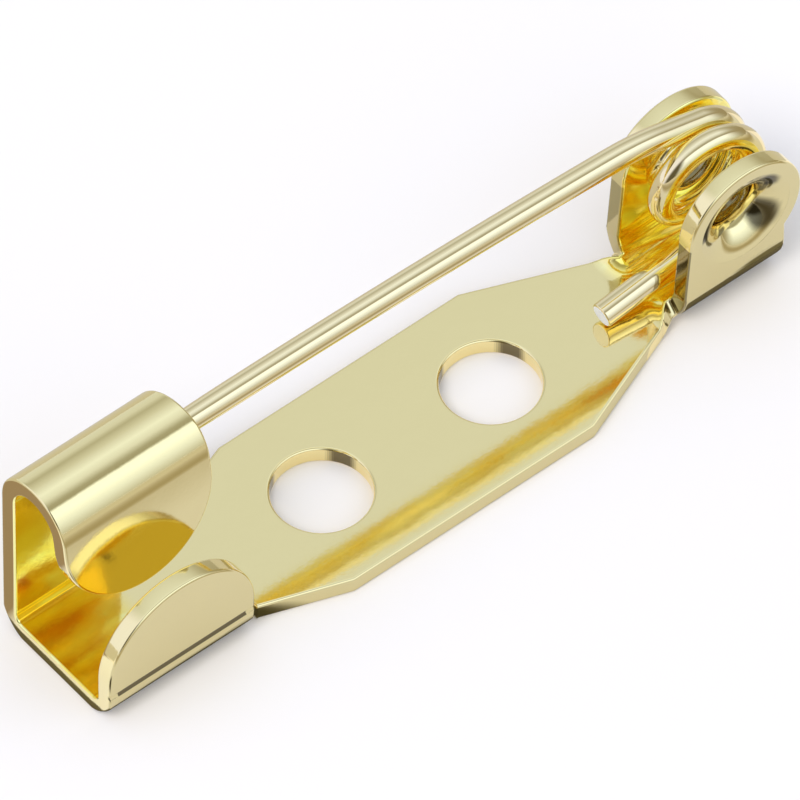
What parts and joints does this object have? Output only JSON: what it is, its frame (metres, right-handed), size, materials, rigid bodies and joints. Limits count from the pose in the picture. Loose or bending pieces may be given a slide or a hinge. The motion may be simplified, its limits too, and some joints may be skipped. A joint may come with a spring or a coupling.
{
  "type": "brooch pin finding",
  "caption": "Brooch pin finding: stamped sheet bar with sewing holes, a rolled hook catch, and a sprung pin wire coiled between dished ears.",
  "frame": {"origin": "midway between the two sewing holes, on the back face that lies against the brooch", "axes": "+X from the catch to the hinge ears, +Y to the side of the catch's tall wall, +Z away from the brooch"},
  "size_m": [0.02, 0.0048, 0.0058],
  "materials": {
    "gold_sheet": "bright pale gold plating on stamped sheet",
    "gold_wire": "bright pale gold plating on drawn spring wire"
  },
  "bodies": {
    "body": {"sheet_body": "gold_sheet", "pin_tail": "gold_wire"},
    "pin": {"pin_stem": "gold_wire"}
  },
  "joints": [
    {"name": "pin_hinge", "type": "hinge", "parent": "body", "child": "pin", "pos_m": [0.00851, 0, 0.0029], "axis": [0, -1, 0], "range_deg": [-1.5, 11], "stiffness_Nm_per_rad": 0.01}
  ]
}
